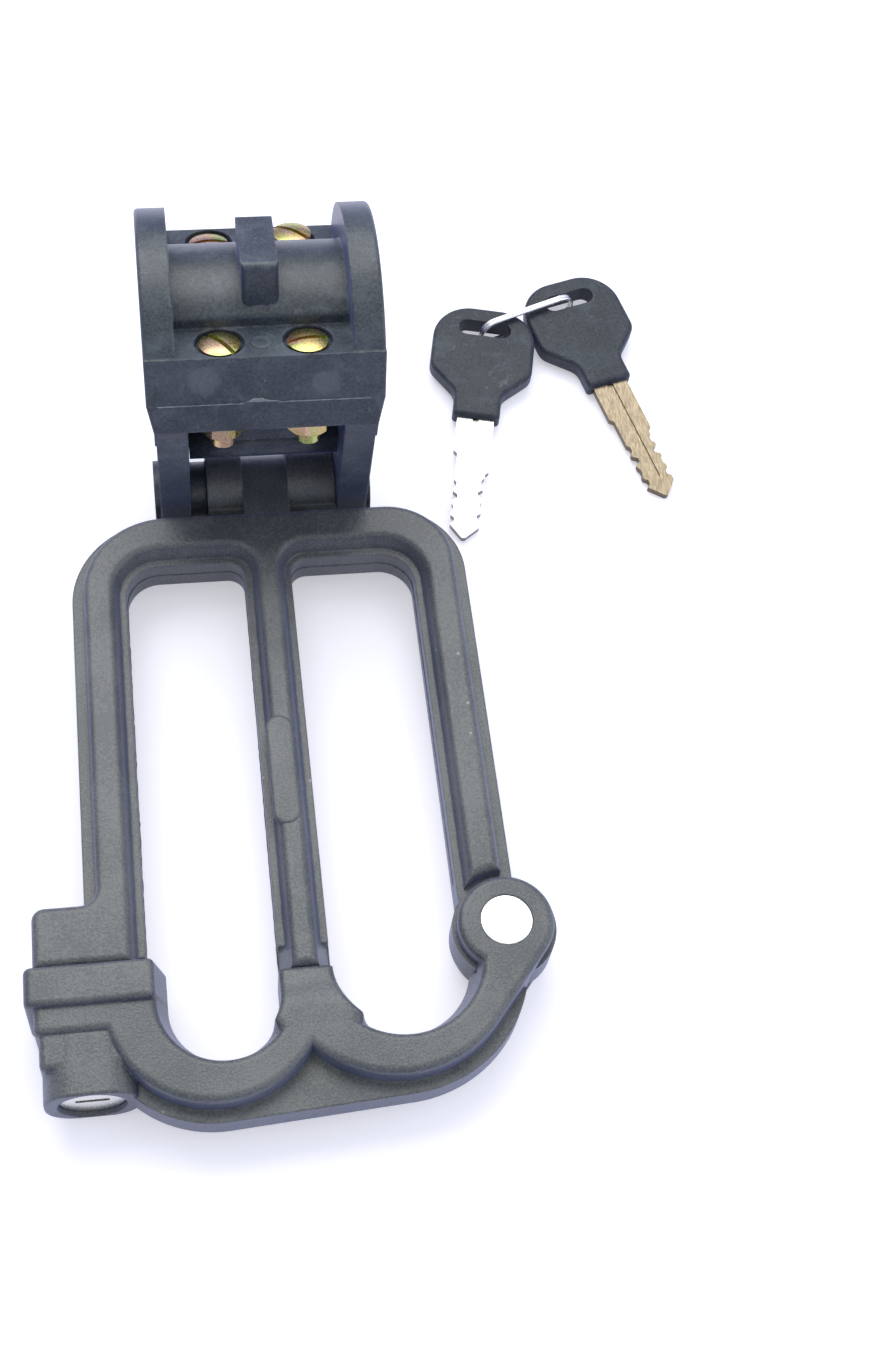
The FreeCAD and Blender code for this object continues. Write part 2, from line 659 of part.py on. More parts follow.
def make_cap_half():
    half_x = clamp_width / 2
    depth = clamp_half_depth
    arch_r = bore_r + arch_wall
    flange = slab(-half_x, half_x, -depth, depth, 0, flange_top)
    arch = rod(arch_r, Vector(-half_x, 0, 0), X_AXIS, clamp_width)
    arch = arch.common(slab(-half_x, half_x, -arch_side, arch_side, 0, arch_r))
    arch = rounded(arch, arch_edge_r, lambda edge: lies_at(edge, "Y", (arch_side, -arch_side))
                   and edge.BoundBox.ZMin > 1)
    cheek = rod(cheek_r, Vector(-half_x, 0, 0), X_AXIS, clamp_width)
    inner = half_x - cheek_thick
    cheek = cheek.common(slab(-half_x, half_x, -depth, depth, 0, cheek_r))
    cheek = cheek.cut(slab(-inner, inner, -depth - 1, depth + 1, 0, cheek_r + 1))
    crest = slab(-crest_half, crest_half, -crest_front, crest_back, 0, crest_top)
    crest = rounded(crest, crest_edge_r, lambda edge: lies_at(edge, "Z", (crest_top,)) and
                    edge.BoundBox.YLength < 0.01 or edge.BoundBox.ZLength > crest_top - 1)
    body = flange.fuse([arch, cheek, crest])
    body = body.cut(slab(-half_x, half_x, -50, 50, -50, 0))
    body = body.cut(rod(bore_r, Vector(-half_x, 0, 0), X_AXIS, clamp_width)).removeSplitter()
    edges = [edge for edge in body.Edges
             if lies_at(edge, "X", (half_x, -half_x)) and edge.BoundBox.ZMax > flange_top]
    body = body.makeFillet(clamp_edge_r, edges)
    for x, t in screw_places():
        body = body.cut(rod(screw_pocket_r, Vector(x, t, screw_pocket_floor), Z_AXIS, 20))
        body = body.cut(rod(screw_r + bolt_gap, Vector(x, t, 0), Z_AXIS, flange_top))
    return body


def tangent_to_barrel(t, s):
    """Point where the line from (t, s) touches the round end of the leg."""
    dt = t
    ds = s + pivot_drop
    dist = math.hypot(dt, ds)
    aim = math.atan2(dt, ds)
    swing = math.acos(leg_round_r / dist)
    turn = aim - swing if t < 0 else aim + swing
    return leg_round_r * math.sin(turn), leg_round_r * math.cos(turn) - pivot_drop


def make_base():
    half_x = clamp_width / 2
    low_x = half_x - split_taper
    arch_r = bore_r + arch_wall
    top = Part.makePolygon([Vector(x, t, 0) for x, t in
                            ((-half_x, -clamp_half_depth), (half_x, -clamp_half_depth),
                             (half_x, clamp_half_depth), (-half_x, clamp_half_depth),
                             (-half_x, -clamp_half_depth))])
    under = Part.makePolygon([Vector(x, t, -flange_under) for x, t in
                              ((-low_x, -leg_front), (low_x, -leg_front), (low_x, leg_front),
                               (-low_x, leg_front), (-low_x, -leg_front))])
    flange = Part.makeLoft([top, under], True, True)
    arch = rod(arch_r, Vector(-low_x, 0, 0), X_AXIS, 2 * low_x)
    arch = arch.common(slab(-low_x, low_x, -arch_r, arch_r, -arch_r, 0))
    legs = []
    touch_t, touch_s = tangent_to_barrel(-leg_front, -flange_under)
    boss_long = leg_thick + leg_boss_rise
    for side in (-1, 1):
        inner = side * leg_gap / 2
        skirt = across(side_profile([(-leg_front, -flange_under), (leg_front, -flange_under),
                                     (-touch_t, touch_s), (touch_t, touch_s)]), 0, leg_thick)
        barrel = rod(leg_round_r, Vector(0, 0, -pivot_drop), X_AXIS, leg_thick)
        boss = rod(leg_boss_r, Vector(0, 0, -pivot_drop), X_AXIS, boss_long)
        leg = skirt.fuse([barrel, boss])
        if side < 0:
            leg = leg.mirror(Vector(0, 0, 0), X_AXIS)
        leg.translate(Vector(inner, 0, 0))
        legs.append(leg)
    shoulder = across(side_profile([(-leg_front, -flange_under), (leg_front, -flange_under),
                                    (leg_front - shoulder_slope, -flange_under - shoulder_drop),
                                    (shoulder_slope - leg_front, -flange_under - shoulder_drop)]),
                      0, low_x - leg_gap / 2)
    for side in (-1, 1):
        piece = shoulder if side > 0 else shoulder.mirror(Vector(0, 0, 0), X_AXIS)
        piece = piece.copy()
        piece.translate(Vector(side * leg_gap / 2, 0, 0))
        legs.append(piece)
    saddle = slab(-saddle_half, saddle_half, -saddle_depth, saddle_depth, -saddle_under, 0)
    body = flange.fuse([arch, saddle] + legs)
    body = body.cut(rod(bore_r, Vector(-half_x, 0, 0), X_AXIS, clamp_width))
    pin_end = leg_gap / 2 + boss_long
    body = body.cut(rod(pin_r + seat_gap, Vector(-pin_end, 0, -pivot_drop), X_AXIS, 2 * pin_end))
    corner = nut_flats / math.sqrt(3) + nut_room
    seat = nut_sink - flange_under
    for x, t in screw_places():
        body = body.cut(rod(screw_r + bolt_gap, Vector(x, t, -flange_under), Z_AXIS, flange_under))
        body = body.cut(rod(corner, Vector(x, t, seat - 2 * nut_high), Z_AXIS, 2 * nut_high))
    return body.removeSplitter()


def make_screws():
    screws = []
    for i, (x, t) in enumerate(screw_places()):
        rise = loose_screw_rise if i == 3 else 0
        under = screw_pocket_floor + rise
        shank = rod(screw_r, Vector(x, t, -screw_below + rise), Z_AXIS, screw_below - rise + under)
        head = rod(screw_head_r, Vector(x, t, under), Z_AXIS, screw_head_high - screw_dome)
        ball_r = (screw_head_r ** 2 + screw_dome ** 2) / (2 * screw_dome)
        dome = Part.makeSphere(ball_r, Vector(x, t, under + screw_head_high - ball_r))
        dome_from = under + screw_head_high - screw_dome
        dome = dome.common(rod(screw_head_r, Vector(x, t, dome_from), Z_AXIS, screw_dome))
        slot = slab(-8, 8, -screw_slot_wide / 2, screw_slot_wide / 2, -screw_slot_deep, 2)
        slot.Placement = Placement(Vector(x, t, under + screw_head_high), Rotation(Z_AXIS, screw_turns[i]))
        screws.append(shank.fuse([head, dome]).removeSplitter().cut(slot))
    return Part.makeCompound(screws)


def make_nuts():
    nuts = []
    corner = nut_flats / math.sqrt(3)
    low = nut_sink - flange_under - nut_high
    flare = nut_high + nut_chamfer
    for i, (x, t) in enumerate(screw_places()):
        turns = [math.radians(60 * k + nut_turns[i]) for k in range(7)]
        points = [Vector(x + corner * math.cos(turn), t + corner * math.sin(turn), low) for turn in turns]
        nut = Part.Face(Part.makePolygon(points)).extrude(Vector(0, 0, nut_high))
        cone = Part.makeCone(corner - nut_chamfer, corner + nut_high, flare, Vector(x, t, low))
        nut = nut.common(cone)
        nuts.append(nut.cut(rod(screw_r + seat_gap, Vector(x, t, low), Z_AXIS, nut_high)))
    return Part.makeCompound(nuts)


def make_pin():
    end = leg_gap / 2 + leg_thick + leg_boss_rise - pin_set_in
    pin = rod(pin_r, Vector(-end, 0, -pivot_drop), X_AXIS, 2 * end)
    return rounded(pin, 0.5, lambda edge: lies_at(edge, "X", (end, -end)))


def make_spacer():
    left = -leg_gap / 2 + 0.1
    ring = rod(spacer_r, Vector(left, 0, -pivot_drop), X_AXIS, lobe_left - 0.1 - left)
    return ring.cut(rod(pin_r + seat_gap, Vector(left, 0, -pivot_drop), X_AXIS, lobe_left - left))


# ---- keys, drawn flat with the tip at the origin and the head along +Y ----
def key_total():
    return key_blade_long + key_neck_long + key_head_long


def key_head_solid():
    neck = key_neck_wide / 2
    wide = key_head_wide / 2
    y0 = key_blade_long
    y1 = y0 + key_neck_long
    y2 = key_total()
    corners = [(-neck, y0, 1.0), (neck, y0, 1.0), (neck, y1 - 2, 5.0), (wide, y1 + 6, 5.0),
               (wide, y2, key_head_r), (-wide, y2, key_head_r), (-wide, y1 + 6, 5.0),
               (-neck, y1 - 2, 5.0)]
    half = key_head_thick / 2
    head = prism(corners, -half, half)
    head = rounded(head, 1.3, lambda edge: lies_at(edge, "Z", (half, -half)))
    slot_half = key_slot_long / 2
    top = y2 - key_slot_in
    low = top - key_slot_wide / 2
    high = top + key_slot_wide / 2
    end_r = 0.49 * key_slot_wide
    slot = prism([(-slot_half, low, end_r), (slot_half, low, end_r), (slot_half, high, end_r),
                  (-slot_half, high, end_r)], -key_head_thick, key_head_thick)
    return head.cut(slot)


def key_blade_solid(grow):
    half = key_blade_wide / 2 + grow
    shank = key_shank_wide / 2 + grow
    left, right = key_shoulders
    root = key_blade_long + key_blade_root + grow
    corners = [(-shank, root, 0), (-shank, left, 0.5), (-half, left - 1, 0.5), (-half, 4.5, 1.0), (0, 0, 1.0),
               (half, 4.5, 1.0), (half, right - 1, 0.5), (shank, right, 0.5), (shank, root, 0)]
    thick = key_blade_thick / 2 + grow
    return prism(corners, -thick, thick)


def key_cuts():
    """Bitting notches on both edges and the long groove on each face."""
    cuts = []
    through = 2 * key_blade_thick
    for side in (-1, 1):
        edge = side * key_blade_wide / 2
        for i, deep in enumerate(bitting):
            y = bitting_first + i * bitting_pitch + side * bitting_pitch / 5
            if y + 0.5 * bitting_pitch > key_shoulders[1] - 1:
                continue
            floor = edge - side * deep
            notch = [(edge + side, y - 2.2, 0), (edge, y - 1.5, 0), (floor, y - 0.6, 0), (floor, y + 0.6, 0),
                     (edge, y + 1.5, 0), (edge + side, y + 2.2, 0)]
            cuts.append(prism(notch, -through, through))
    for side in (-1, 1):
        z = side * key_blade_thick / 2
        cuts.append(slab(-key_groove_half, key_groove_half, bitting_first, key_blade_long + key_blade_root,
                         z - key_groove_deep, z + key_groove_deep))
    return cuts


def key_pitch():
    """Angle at which a key leans from its tip up to the link under its slot."""
    reach = key_total() - key_slot_in
    drop = (key_head_thick - key_blade_thick) / 2
    return math.degrees(math.asin((key_lift + drop) / reach))


def key_place(tip, turn):
    lift = Placement(Vector(tip[0], tip[1], -collar_half + key_blade_thick / 2), Rotation(Z_AXIS, turn))
    return lift.multiply(Placement(Vector(0, 0, 0), Rotation(X_AXIS, key_pitch())))


def slot_middle(place):
    return place.multVec(Vector(0, key_total() - key_slot_in, 0))


def make_link(place_a, place_b):
    """Wire link through both key slots, over the heads and back under them."""
    a = slot_middle(place_a)
    b = slot_middle(place_b)
    run = b - a
    run.z = 0
    span = run.Length
    run.normalize()
    low = -collar_half + link_wire_r
    high = a.z + key_head_thick / 2 + link_high
    bend = (high - low) / 2 - 0.01
    loop_past = link_past * bend
    coils = []
    side = Vector(-run.y, run.x, 0)
    for k in range(link_turns):
        shift = side * ((k - 0.5 * (link_turns - 1)) * 2.05 * link_wire_r)
        start = a + shift
        corners = [(-loop_past, low, bend), (span + loop_past, low, bend),
                   (span + loop_past, high, bend), (-loop_past, high, bend)]
        path = outline(corners)
        flat = Placement(Vector(start.x, start.y, 0), Rotation(Vector(run.x, run.y, 0), Vector(0, 0, 1),
                                                              Vector(run.y, -run.x, 0), "XYZ"))
        path.Placement = flat
        first = path.Edges[0]
        at = first.valueAt(first.FirstParameter)
        along = first.tangentAt(first.FirstParameter)
        ring = Part.Wire([Part.makeCircle(link_wire_r, at, along)])
        coils.append(path.makePipeShell([ring], True, True))
    return coils[0].fuse(coils[1:]) if link_turns > 1 else coils[0]


# ---- build ----
key_a = key_place(key_a_tip, key_a_turn)
key_b = key_place(key_b_tip, key_b_turn)
head_shape = key_head_solid().cut(key_blade_solid(seat_gap))
blade_shape = key_blade_solid(0).cut(key_cuts())

save("shackle_frame", make_shackle(), lock_place)
save("gate", make_gate(), lock_place)
save("gate_rivet", make_rivet(), lock_place)
save("lock_barrel", make_barrel(), lock_place)
save("lock_plug", make_plug(), lock_place)
save("plug_cap", make_cap(), lock_place)
save("plug_wafers", make_wafers(), lock_place)
save("plug_clip", make_clip(), lock_place)
save("turn_bar", make_turn_bar(), lock_place)
save("bar_screw", make_bar_screw(), lock_place)
save("barrel_pin", make_lock_pin(), lock_place)
save("clamp_cap", make_cap_half(), clamp_place)
save("clamp_base", make_base(), clamp_place)
save("clamp_screws", make_screws(), clamp_place)
save("clamp_nuts", make_nuts(), clamp_place)
save("hinge_pin", make_pin(), clamp_place)
save("hinge_spacer", make_spacer(), clamp_place)
for letter, place in (("a", key_a), ("b", key_b)):
    save("key_head_" + letter, head_shape, lock_place.multiply(place))
    save("key_blade_" + letter, blade_shape, lock_place.multiply(place))
save("key_link", make_link(key_a, key_b), lock_place)
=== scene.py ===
"""Looks for the disc brake lock: satin black castings, a moulded clamp, yellow zinc fasteners and two keys.

Everything is in metres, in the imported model's own frame.
"""
import json
import math

import bpy
from mathutils import Matrix, Vector, noise


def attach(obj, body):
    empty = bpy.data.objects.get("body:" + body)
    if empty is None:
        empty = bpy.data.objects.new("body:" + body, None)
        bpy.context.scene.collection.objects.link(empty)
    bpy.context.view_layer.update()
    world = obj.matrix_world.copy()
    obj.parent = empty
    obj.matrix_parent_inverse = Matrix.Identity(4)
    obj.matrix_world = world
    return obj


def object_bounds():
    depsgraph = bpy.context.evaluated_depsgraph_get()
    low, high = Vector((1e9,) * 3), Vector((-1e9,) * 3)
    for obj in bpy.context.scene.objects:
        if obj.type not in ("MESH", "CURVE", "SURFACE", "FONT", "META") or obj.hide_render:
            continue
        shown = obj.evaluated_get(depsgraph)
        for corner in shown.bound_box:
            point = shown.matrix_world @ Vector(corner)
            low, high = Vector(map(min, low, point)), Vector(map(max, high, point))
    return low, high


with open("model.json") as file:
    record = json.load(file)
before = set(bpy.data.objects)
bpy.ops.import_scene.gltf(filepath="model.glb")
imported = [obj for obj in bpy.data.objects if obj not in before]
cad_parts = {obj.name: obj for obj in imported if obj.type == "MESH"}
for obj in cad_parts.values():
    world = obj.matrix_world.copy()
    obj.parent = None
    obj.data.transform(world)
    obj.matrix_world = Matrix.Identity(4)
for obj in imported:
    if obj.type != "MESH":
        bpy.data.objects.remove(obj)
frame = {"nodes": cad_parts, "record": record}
cad_low, cad_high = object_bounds()
nodes = frame["nodes"]


# ---- node helpers ----
def new_group(name, inputs, outputs):
    """Empty shader group with its sockets; inputs are (name, kind, start value)."""
    tree = bpy.data.node_groups.new(name, "ShaderNodeTree")
    for label, kind, start in inputs:
        socket = tree.interface.new_socket(name=label, in_out="INPUT", socket_type="NodeSocket" + kind)
        socket.default_value = start
    for label, kind in outputs:
        tree.interface.new_socket(name=label, in_out="OUTPUT", socket_type="NodeSocket" + kind)
    return tree, tree.nodes.new("NodeGroupInput"), tree.nodes.new("NodeGroupOutput")


def add(tree, kind, links=(), **values):
    """New node of a kind; values set its sockets or settings, and links join (socket, source) pairs."""
    node = tree.nodes.new("ShaderNode" + kind)
    for key, value in values.items():
        if hasattr(node, key):
            setattr(node, key, value)
        else:
            node.inputs[key.replace("_", " ")].default_value = value
    for socket, source in links:
        tree.links.new(source, node.inputs[socket])
    return node


def stepped(tree, value, low, high, to_low=0.0, to_high=1.0):
    """Value taken from low..high to to_low..to_high, smoothly and clamped."""
    node = add(tree, "MapRange", [("Value", value)], interpolation_type="SMOOTHSTEP")
    for i, amount in enumerate((low, high, to_low, to_high)):
        node.inputs[i + 1].default_value = amount
    return node.outputs["Result"]


def maths(tree, operation, a, b=None):
    node = add(tree, "Math", operation=operation)
    for socket, value in zip(node.inputs, (a, b)):
        if value is None:
            continue
        if isinstance(value, (int, float)):
            socket.default_value = value
        else:
            tree.links.new(value, socket)
    return node.outputs[0]


def blended(tree, factor, a, b):
    """Colour a where factor is 0 and colour b where it is 1."""
    node = add(tree, "Mix", data_type="RGBA")
    for socket, value in ((node.inputs[0], factor), (node.inputs[6], a), (node.inputs[7], b)):
        if isinstance(value, bpy.types.NodeSocket):
            tree.links.new(value, socket)
        else:
            socket.default_value = value
    return node.outputs[2]


def laid_over(tree, colour, mask, amount, tint):
    """Colour with a tint over it where the mask is, by amount at most."""
    return blended(tree, maths(tree, "MULTIPLY", mask, amount), colour, tint)


def joined(tree, shader, **sources):
    """Links sources to the shader's sockets of those names."""
    for key, source in sources.items():
        tree.links.new(source, shader.inputs[key.replace("_", " ")])


def here(tree):
    """Place on the piece, in metres."""
    return add(tree, "TexCoord").outputs["Object"]


# ---- shared surface effects ----
def make_grain():
    """Fine grain of a sprayed or moulded skin, with soft patches of tone."""
    tree, given, out = new_group("skin_grain", [
        ("Light", "Color", (0.2, 0.2, 0.2, 1)), ("Dark", "Color", (0.1, 0.1, 0.1, 1)),
        ("Grain", "Float", 1500.0), ("Patches", "Float", 40.0), ("Smoothest", "Float", 0.35),
        ("Roughest", "Float", 0.55)], [("Color", "Color"), ("Roughness", "Float"), ("Height", "Float")])
    place = here(tree)
    fine = add(tree, "TexNoise", [("Vector", place), ("Scale", given.outputs["Grain"])], Detail=3.0)
    broad = add(tree, "TexNoise", [("Vector", place), ("Scale", given.outputs["Patches"])], Detail=5.0,
                Roughness=0.62)
    tone = maths(tree, "ADD", maths(tree, "MULTIPLY", fine.outputs["Fac"], 0.55),
                 maths(tree, "MULTIPLY", broad.outputs["Fac"], 0.45))
    tone = stepped(tree, tone, 0.40, 0.60)
    tree.links.new(blended(tree, tone, given.outputs["Dark"], given.outputs["Light"]), out.inputs["Color"])
    rough = add(tree, "MapRange", [("Value", broad.outputs["Fac"]), ("To Min", given.outputs["Smoothest"]),
                                   ("To Max", given.outputs["Roughest"])])
    tree.links.new(rough.outputs["Result"], out.inputs["Roughness"])
    tree.links.new(fine.outputs["Fac"], out.inputs["Height"])
    return tree


def make_edge_wear_and_highlight():
    """Mask of the outer edges, broken up by noise; the lighter colour laid on it is partly wear where the
    finish has rubbed thin and partly a painted highlight on the rims.
    """
    tree, given, out = new_group("edge_wear_and_highlight", [
        ("Reach", "Float", 0.001), ("Breaks", "Float", 300.0)], [("Mask", "Float"), ("Normal", "Vector")])
    soft = add(tree, "Bevel", [("Radius", given.outputs["Reach"])], samples=4)
    face = add(tree, "NewGeometry").outputs["Normal"]
    facing = add(tree, "VectorMath", [(0, soft.outputs["Normal"]), (1, face)], operation="DOT_PRODUCT")
    wear_and_highlight_band = stepped(tree, facing.outputs["Value"], 0.995, 0.90)
    breaks = add(tree, "TexNoise", [("Vector", here(tree)), ("Scale", given.outputs["Breaks"])], Detail=3.0)
    mask = maths(tree, "MULTIPLY", wear_and_highlight_band, stepped(tree, breaks.outputs["Fac"], 0.35, 0.65))
    tree.links.new(mask, out.inputs["Mask"])
    tree.links.new(soft.outputs["Normal"], out.inputs["Normal"])
    return tree


def make_specks():
    """Mask of scattered dust specks and nicks."""
    tree, given, out = new_group("specks", [
        ("Spacing", "Float", 120.0), ("Size", "Float", 0.08)], [("Mask", "Float")])
    cells = add(tree, "TexVoronoi", [("Vector", here(tree)), ("Scale", given.outputs["Spacing"])])
    near = maths(tree, "LESS_THAN", cells.outputs["Distance"], given.outputs["Size"])
    some = add(tree, "SeparateColor", [("Color", cells.outputs["Color"])])
    tree.links.new(maths(tree, "MULTIPLY", near, maths(tree, "GREATER_THAN", some.outputs["Red"], 0.82)),
                   out.inputs["Mask"])
    return tree


def make_scuffs():
    """Thin curved scratches and soft smears that handling leaves on a dark skin."""
    tree, given, out = new_group("scuffs", [
        ("Spread", "Float", 90.0)], [("Lines", "Float"), ("Smears", "Float")])
    place = here(tree)
    path = add(tree, "TexNoise", [("Vector", place), ("Scale", given.outputs["Spread"])], Detail=2.0)
    off = maths(tree, "ABSOLUTE", maths(tree, "SUBTRACT", path.outputs["Fac"], 0.5))
    breaks = add(tree, "TexNoise", [("Vector", place)], Scale=330.0, Detail=2.0)
    unbroken = stepped(tree, breaks.outputs["Fac"], 0.50, 0.60)
    finer = maths(tree, "MULTIPLY", given.outputs["Spread"], 1.6)
    smears = add(tree, "TexNoise", [("Vector", place), ("Scale", finer)], Detail=6.0, Roughness=0.7)
    tree.links.new(maths(tree, "MULTIPLY", stepped(tree, off, 0.008, 0.0), unbroken), out.inputs["Lines"])
    tree.links.new(stepped(tree, smears.outputs["Fac"], 0.50, 0.70), out.inputs["Smears"])
    return tree


def make_soft_spot():
    """Mask of one round mark with an uneven soft rim, as a pin that pushes out a moulding leaves."""
    tree, given, out = new_group("soft_spot", [
        ("Middle", "Vector", (0.0, 0.0, 0.0)), ("Radius", "Float", 0.004)], [("Mask", "Float")])
    place = here(tree)
    far = add(tree, "VectorMath", [(0, place), (1, given.outputs["Middle"])], operation="DISTANCE")
    share = maths(tree, "DIVIDE", far.outputs["Value"], given.outputs["Radius"])
    uneven = add(tree, "TexNoise", [("Vector", place)], Scale=700.0, Detail=3.0)
    share = maths(tree, "ADD", share, maths(tree, "MULTIPLY", uneven.outputs["Fac"], 0.5))
    tree.links.new(stepped(tree, share, 1.25, 0.85), out.inputs["Mask"])
    return tree


def make_painted_side_shade():
    """Mask of the thin walls of a flat stamping, found by their leaning normals, for the painted shade laid
    on them.
    """
    tree, given, out = new_group("painted_side_shade", [("Lean", "Float", 0.6)], [("Mask", "Float")])
    face = add(tree, "SeparateXYZ", [("Vector", add(tree, "TexCoord").outputs["Normal"])])
    upright = maths(tree, "ABSOLUTE", face.outputs["Z"])
    tree.links.new(maths(tree, "LESS_THAN", upright, given.outputs["Lean"]), out.inputs["Mask"])
    return tree


def make_plating():
    """Passivated plating, whose colour drifts between three tints, with fine tool marks."""
    tree, given, out = new_group("plating_tints", [
        ("First", "Color", (0.8, 0.7, 0.4, 1)), ("Second", "Color", (0.7, 0.8, 0.5, 1)),
        ("Third", "Color", (0.8, 0.6, 0.5, 1)), ("Drift", "Float", 160.0), ("Marks", "Float", 2500.0)],
        [("Color", "Color"), ("Roughness", "Float"), ("Height", "Float")])
    place = here(tree)
    one = add(tree, "TexNoise", [("Vector", place), ("Scale", given.outputs["Drift"])], Detail=1.0)
    moved = add(tree, "VectorMath", [(0, place)], operation="ADD")
    moved.inputs[1].default_value = (0.31, 0.17, 0.23)
    two = add(tree, "TexNoise", [("Vector", moved.outputs[0]), ("Scale", given.outputs["Drift"])], Detail=1.0)
    colour = blended(tree, stepped(tree, one.outputs["Fac"], 0.42, 0.58), given.outputs["First"],
                     given.outputs["Second"])
    colour = blended(tree, stepped(tree, two.outputs["Fac"], 0.48, 0.62), colour, given.outputs["Third"])
    marks = add(tree, "TexNoise", [("Vector", place), ("Scale", given.outputs["Marks"])], Detail=2.0)
    tree.links.new(colour, out.inputs["Color"])
    tree.links.new(stepped(tree, marks.outputs["Fac"], 0.3, 0.7, 0.22, 0.42), out.inputs["Roughness"])
    tree.links.new(marks.outputs["Fac"], out.inputs["Height"])
    return tree


def make_brushing():
    """Fine lines left by a belt or a lathe tool, along one direction of the piece."""
    tree, given, out = new_group("brushed_lines", [
        ("Stretch", "Vector", (1.0, 1.0, 1.0)), ("Lines", "Float", 3000.0)],
        [("Tone", "Float"), ("Height", "Float")])
    pulled = add(tree, "VectorMath", [(0, here(tree)), (1, given.outputs["Stretch"])], operation="MULTIPLY")
    lines = add(tree, "TexNoise", [("Vector", pulled.outputs[0]), ("Scale", given.outputs["Lines"])],
                Detail=4.0, Roughness=0.7)
    tree.links.new(stepped(tree, lines.outputs["Fac"], 0.3, 0.7), out.inputs["Tone"])
    tree.links.new(lines.outputs["Fac"], out.inputs["Height"])
    return tree


grain = make_grain()
edge_wear_and_highlight = make_edge_wear_and_highlight()
specks = make_specks()
scuffs = make_scuffs()
soft_spot = make_soft_spot()
painted_side_shade = make_painted_side_shade()
plating = make_plating()
brushing = make_brushing()


def effect(tree, group, **values):
    """One shared effect placed in a material with its own values."""
    node = tree.nodes.new("ShaderNodeGroup")
    node.node_tree = group
    for key, value in values.items():
        node.inputs[key].default_value = value
    return node


def new_material(name):
    """Material with its node tree and its shader."""
    material = bpy.data.materials.new(name)
    material.use_nodes = True
    return material, material.node_tree, material.node_tree.nodes["Principled BSDF"]


def bumped(tree, height, depth, normal=None):
    """Normal of a surface with a height pattern, depth in metres."""
    node = add(tree, "Bump", [("Height", height)], Strength=1.0, Distance=depth)
    if normal is not None:
        tree.links.new(normal, node.inputs["Normal"])
    return node.outputs["Normal"]


# ---- places ----
joints = {joint["name"]: joint for joint in frame["record"]["behaviour"]["joints"]}
hinge_middle = Vector(joints["clamp_tilt"]["pos_m"])
clamp_lean = math.radians(17.6)     # how far the clamp leans back over the shackle

# lock's own axes, in millimetres from the middle of the hinge pin
window_wall = 38.0                  # outer wall of both windows
window_top = -26.5
window_outer_r = 9.0
window_inner_r = 4.5
bar_left = -6.8                     # sides of the centre bar
bar_right = 5.4
bar_foot = -141.8
left_wall_foot = -137.0
right_wall_foot = -122.0
left_end = (-20.35, -148.35, 13.25)     # middle and radius of each round window end in the gate
right_end = (22.45, -142.55, 16.75)
end_flare = 0.2857                  # how much those ends widen per millimetre of height
rib_crown = 9.8                     # height of the gate's ribs above the parting plane
stub_end = -142.5
stub_high = 7.8                     # height of the stub where it meets the centre bar
stub_slope = 0.122

# clamp's own axes, in millimetres from the middle of its bore
clamp_front = -30.0
clamp_ledge = 13.0                  # height of the ledge that the front screws stand in
leg_room = 19.3                     # from the middle to the inner face of each leg
saddle_deep = 15.05
saddle_under = -28.4


def on_lock(x, y, z):
    """Place given in the lock's own axes, in millimetres from the middle of the hinge pin."""
    return hinge_middle + Vector((x, y, z)) * 0.001


def on_clamp(x, depth, rise):
    """Place given in the clamp's own axes, in millimetres from the middle of its bore."""
    lean_cos = math.cos(clamp_lean)
    lean_sin = math.sin(clamp_lean)
    return Vector((x, depth * lean_cos + rise * lean_sin, rise * lean_cos - depth * lean_sin)) * 0.001


def eased(value, start, stop):
    """0 at start and 1 at stop, smoothly between them."""
    share = min(max((value - start) / (stop - start), 0.0), 1.0)
    return share * share * (3 - 2 * share)


# ---- materials ----
def painted_blue_sheen(shader, amount):
    """Bluish sheen at grazing angles on a dark coating, a painted reflection of bluish surroundings."""
    shader.inputs["Sheen Weight"].default_value = amount
    shader.inputs["Sheen Roughness"].default_value = 0.45
    # Painted reflection: the sheen is tinted blue.
    shader.inputs["Sheen Tint"].default_value = (0.30, 0.38, 1.0, 1)


def coated_casting():
    """Satin black coating on a sand-rough casting, its edges lightened as part wear and part painted
    highlight.
    """
    material, tree, shader = new_material("satin_casting")
    skin = effect(tree, grain, Light=(0.116, 0.124, 0.128, 1), Dark=(0.056, 0.064, 0.072, 1), Grain=1900.0,
                  Patches=60.0, Smoothest=0.34, Roughest=0.46)
    worn_highlit_edges = effect(tree, edge_wear_and_highlight, Reach=0.0008, Breaks=260.0)
    dust = effect(tree, specks, Spacing=170.0, Size=0.07)
    # Painted highlight and wear: the casting's edges are lightened towards grey.
    colour = laid_over(tree, skin.outputs["Color"], worn_highlit_edges.outputs["Mask"], 0.35, (0.30, 0.31, 0.33, 1))
    colour = laid_over(tree, colour, dust.outputs["Mask"], 0.5, (0.42, 0.42, 0.44, 1))
    joined(tree, shader, Base_Color=colour, Roughness=skin.outputs["Roughness"],
           Normal=bumped(tree, skin.outputs["Height"], 0.00010, worn_highlit_edges.outputs["Normal"]))
    shader.inputs["Specular IOR Level"].default_value = 0.7
    # Painted blue reflection along the sides of the casting.
    painted_blue_sheen(shader, 0.30)
    return material


